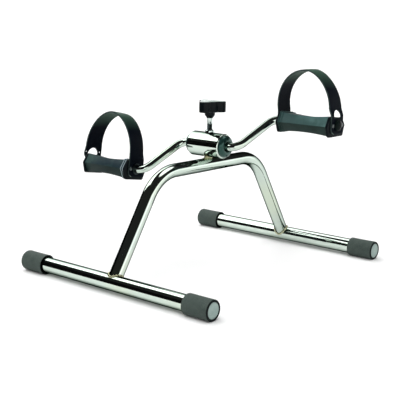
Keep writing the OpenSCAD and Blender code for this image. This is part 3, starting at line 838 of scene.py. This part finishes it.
def disc(y, z, r, n=32):
    return [(y + r * math.cos(2 * math.pi * a / n), z + r * math.sin(2 * math.pi * a / n)) for a in range(n)]


def end_plate(side, place):
    node = f"{NAME[side]}_{place}_plate"
    x1 = PEDAL_LEN[side] / MM / 2
    x0 = x1 - 4
    if place == "inner":
        x0, x1 = -x1, -x0
    bm = bmesh.new()
    prism(bm, side, pedal_outline(1.5, 4.2, 3.0, 1.3), x0, x1)
    o = piece(node + "_moulded", bm, [PLATE], NAME[side] + "_pedal", [node], sharp=40)
    cut = bmesh.new()
    prism(cut, side, disc(0, 0, 7.05, 48), x0 - 1, x1 + 1)
    for s in (-1, 1):
        prism(cut, side, disc(s * 12.9, 0, 2.25), x0 - 1, x1 + 1)
    carve(o, cut, 0.7)


def ease(t):
    t = min(max(t, 0.0), 1.0)
    return t * t * (3 - 2 * t)


def strap_curve(side, u, rear):
    """A point (x, z) on the strap's inner face in the pedal's axes, in mm. u runs from 0 at the inner end,
    0.2 and 0.8 being where the straight ends meet the arch. rear is 0 at the front edge and 1 at the rear."""
    h = PEDAL_LEN[side] / MM / 2
    foot, spring = -13.0, 26.8
    if side > 0:
        left, right = 50.0 + 0.4 * rear, 44.6 + 0.2 * rear
        top, lean = 82.4 - 0.6 * rear, -0.6 - 2.6 * rear
        powers = 0.96 + 0.05 * rear, 1.10 + 0.05 * rear
    else:
        left, right = 48.2 - 2.6 * rear, 52.6 - 2.8 * rear
        top, lean = 88.0 - 1.8 * rear, 0.9 + 2.4 * rear
        powers = 1.10 - 0.08 * rear, 1.10 - 0.08 * rear
    if u < 0.2 or u > 0.8:
        t = u / 0.2 if u < 0.2 else (1 - u) / 0.2
        z = foot + (spring - foot) * t
        target = left if u < 0.2 else right
        k = min(max((z - 14.6) / (spring - 14.6), 0.0), 1.0)
        x = h + (target - h) * (0.45 * k + 0.55 * ease(k))
        if side < 0 and u > 0.8:
            x = h + (target - h + 3.0 * (1 - rear) * (1 - k)) * ease((z - 3.0) / 11.0)
        x += (3.2 if side < 0 and u > 0.8 else 1.6) * ease((-4.5 - z) / 9.0)
        return (-x if u < 0.2 else x), z
    a = math.pi * (1 - (u - 0.2) / 0.6)
    c, s = math.cos(a), math.sin(a)
    wide, power = (left, powers[0]) if c < 0 else (right, powers[1])
    z = spring + (top - spring) * abs(s) ** power
    x = wide * math.copysign(abs(c) ** power, c) + lean * (z - spring) / (top - spring)
    return x, z


def foot_strap(side):
    node = NAME[side] + "_foot_strap"
    t, w = 2.4, 33.6
    along = [0.2 * (i / 20) for i in range(20)] + [0.2 + 0.6 * i / 84 for i in range(85)]
    along += [0.8 + 0.2 * (i / 20) for i in range(1, 21)]
    across = 8
    bm = bmesh.new()
    rings = []
    for u in along:
        ring_in, ring_out = [], []
        for k in range(across + 1):
            rear = k / across
            x0, z0 = strap_curve(side, max(u - 0.004, 0.0), rear)
            x1, z1 = strap_curve(side, min(u + 0.004, 1.0), rear)
            x, z = strap_curve(side, u, rear)
            d = Vector((x1 - x0, z1 - z0)).normalized()
            out = Vector((-d.y, d.x))
            depth = z + 13.0
            narrow = 6.0 - math.sqrt(max(0.0, 36.0 - (6.0 - depth) ** 2)) if depth < 6.0 else 0.0
            half_w = w / 2 - narrow
            y = -half_w + 2 * half_w * rear
            crown = 0.35 * (1 - (2 * rear - 1) ** 2) * ease((z - 4.0) / 10.0)
            ring_in.append(pedal_point(side, x + out.x * crown, y, z + out.y * crown))
            ring_out.append(pedal_point(side, x + out.x * (t + crown), y, z + out.y * (t + crown)))
        rings.append(ring_in + ring_out[::-1])
    count = across + 1
    grid(bm, rings)
    bm.verts.index_update()
    # The front and rear edge faces take the paler painted-highlight material.
    for f in bm.faces:
        around = sorted({v.index % (2 * count) for v in f.verts}) if len(f.verts) == 4 else []
        if around in ([across, count], [0, 2 * count - 1]):
            f.material_index = 1
    o = piece(node + "_band", bm, [STRAP, STRAP_EDGE_LIT], NAME[side] + "_pedal", [node],
              sharp=50)
    cut = bmesh.new()
    h = PEDAL_LEN[side] / MM / 2
    half_turn = [math.radians(a) for a in range(0, 181, 9)]
    window = [(10.5 * math.cos(a), 13.6 + 10.5 * math.sin(a)) for a in half_turn]
    prism(cut, side, window + [(-10.5, 13.2), (-9.7, 12.4), (9.7, 12.4), (10.5, 13.2)], h - 12, h + 12)
    for s in (-1, 1):
        prism(cut, side, disc(s * 13.8, 17.0, 1.6, 20), h - 12, h + 12)
        for x0, x1 in ((h - 12, h + 12), (-h - 12, -h + 12)):
            prism(cut, side, disc(s * 12.9, 0, 2.25, 24), x0, x1)
    for x0, x1 in ((h - 12, h + 12), (-h - 12, -h + 12)):
        prism(cut, side, disc(0, 0, 8.6, 48), x0, x1)
    carve(o, cut, 0.45)


for s in (-1, 1):
    floor_tube(s)
    bearing_cap(s)
    foot_strap(s)
    for other in (-1, 1):
        rubber_tip(s, other)
    # The left pedal takes the darker copy, painted shade.
    plastic = PEDAL_PLASTIC if s > 0 else PEDAL_SHADED
    rounded(NAME[s] + "_pedal_body", NAME[s] + "_pedal", plastic, 0.5, 2, 20.0)
    end_plate(s, "inner")
    end_plate(s, "outer")
    flange(s, -PEDAL_LEN[s] / MM / 2 + 4.6, NAME[s] + "_end_flange", 1.6)
    flange(s, -PEDAL_LEN[s] / MM / 2 + 9.4, NAME[s] + "_inner_flange")
arch_tube()
foot_welds()
hub_weld()
crank_rod()
tension_screw()
tension_knob()
tension_boss()

# ---------------------------------------------------------------- floor, light and camera


def stage_floor():
    me = bpy.data.meshes.new("studio_floor")
    size = 14.0
    me.from_pydata([(-size, -size, 0), (size, -size, 0), (size, size, 0), (-size, size, 0)], [], [(0, 1, 2, 3)])
    o = bpy.data.objects.new("studio_floor", me)
    bpy.context.scene.collection.objects.link(o)
    m = Nodes("studio_floor")
    m.set(Roughness=0.9, Specular_IOR_Level=0.1)
    colour = m.ramp(m.noise(3.0, 2.0), [(0.3, (0.86, 0.86, 0.86)), (0.7, (0.88, 0.88, 0.88))])
    me.materials.append(m.finish(colour))


def studio_world():
    world = bpy.data.worlds.new("studio")
    bpy.context.scene.world = world
    world.use_nodes = True
    t = world.node_tree
    t.nodes.clear()

    def add(kind, **props):
        n = t.nodes.new(kind)
        for k, v in props.items():
            setattr(n, k, v)
        return n

    def dot(direction):
        d = add("ShaderNodeVectorMath", operation="DOT_PRODUCT")
        t.links.new(coord, d.inputs[0])
        d.inputs[1].default_value = Vector(direction).normalized()
        return d.outputs["Value"]

    def span(value, a, b, lo, hi):
        m = add("ShaderNodeMapRange", interpolation_type="SMOOTHSTEP")
        for key, v in (("From Min", a), ("From Max", b), ("To Min", lo), ("To Max", hi)):
            m.inputs[key].default_value = v
        t.links.new(value, m.inputs["Value"])
        return m.outputs["Result"]

    def both(op, a, b):
        m = add("ShaderNodeMath", operation=op)
        t.links.new(a, m.inputs[0])
        t.links.new(b, m.inputs[1])
        return m.outputs[0]

    coord = add("ShaderNodeTexCoord").outputs["Generated"]
    horizon = span(dot((0, 0, 1)), 0.20, 0.30, 1.7, 0.02)
    soft_left = span(dot((-0.66, 0.42, 0.62)), 0.90, 0.95, 0.0, 2.6)
    top = span(dot((0.25, 0.33, 0.91)), 0.93, 0.97, 0.0, 2.2)
    light = both("MAXIMUM", both("MAXIMUM", horizon, soft_left), top)
    background = add("ShaderNodeBackground")
    background.inputs["Color"].default_value = (1.0, 1.0, 1.0, 1.0)
    t.links.new(light, background.inputs["Strength"])
    out = add("ShaderNodeOutputWorld")
    t.links.new(background.outputs[0], out.inputs[0])


def reflection_card(name, me):
    """Puts a studio card in place. Only reflections show it."""
    o = bpy.data.objects.new(name, me)
    bpy.context.scene.collection.objects.link(o)
    o.visible_camera = False
    o.visible_diffuse = False
    o.visible_shadow = False


def black_flag():
    """A curved black cloth beyond the front left of the set. It draws the dark bands in the chrome."""
    radius, foot, height = 1.05, 0.004, 0.56
    across, up = 32, 6
    bm = bmesh.new()
    columns = []
    for i in range(across + 1):
        w = math.radians(-70 - 120 * i / across)
        x, y = radius * math.cos(w), radius * math.sin(w)
        columns.append([bm.verts.new((x, y, foot + height * k / up)) for k in range(up + 1)])
    for a, b in zip(columns, columns[1:]):
        for k in range(up):
            bm.faces.new((a[k], b[k], b[k + 1], a[k + 1]))
    me = bpy.data.meshes.new("black_flag")
    bm.to_mesh(me)
    bm.free()
    cloth = rubber_material("black_cloth", (0.002, 0.002, 0.002), (0.004, 0.004, 0.004), gloss=0.0)
    me.materials.append(cloth)
    reflection_card("black_flag", me)


def softbox():
    """A flat softbox overhead on the left, seen only in reflections."""
    me = bpy.data.meshes.new("softbox")
    corners = ((-0.12, -0.31), (-0.85, -0.31), (-0.95, 0.70), (-0.50, 0.70))
    height = 0.54
    me.from_pydata([(x, y, height) for x, y in corners], [], [(0, 1, 2, 3)])
    m = Nodes("softbox_cloth")
    m.set(Emission_Strength=2.0, Roughness=1.0)
    glow = m.ramp(m.noise(5.0, 2.0), [(0.3, (0.93, 0.95, 0.95)), (0.7, (1.0, 1.0, 1.0))])
    m.link(glow, m.bsdf.inputs["Emission Color"])
    me.materials.append(m.finish())
    reflection_card("softbox", me)


def lights():
    sun = bpy.data.lights.new("soft_sun", "SUN")
    sun.energy = 3.0
    sun.angle = math.radians(75)
    o = bpy.data.objects.new("soft_sun", sun)
    o.rotation_euler = (math.radians(18), math.radians(-14), 0)
    o.visible_glossy = False
    bpy.context.scene.collection.objects.link(o)


def camera():
    """The photograph's viewpoint: just above the pedals, to the front right."""
    data = bpy.data.cameras.new("camera")
    data.sensor_width = 36.0
    data.lens = 84.24
    data.clip_start = 0.05
    data.clip_end = 60.0
    o = bpy.data.objects.new("camera", data)
    yaw, pitch, roll = -0.6872, 0.2038, 0.0191
    ahead = Vector((math.sin(yaw) * math.cos(pitch), math.cos(yaw) * math.cos(pitch), -math.sin(pitch)))
    right = Vector((math.cos(yaw), -math.sin(yaw), 0.0))
    up = right.cross(ahead)
    rolled_right = math.cos(roll) * right + math.sin(roll) * up
    rolled_up = math.cos(roll) * up - math.sin(roll) * right
    m = Matrix((rolled_right, rolled_up, -ahead)).transposed().to_4x4()
    m.translation = Vector((0.95801, -1.18856, 0.42531))
    o.matrix_world = m
    bpy.context.scene.collection.objects.link(o)
    bpy.context.scene.camera = o


stage_floor()
black_flag()
softbox()
studio_world()
lights()
camera()
scene = bpy.context.scene
scene.view_settings.view_transform = "Standard"
scene.view_settings.look = "None"
scene.cycles.use_denoising = True
scene.cycles.max_bounces = 8
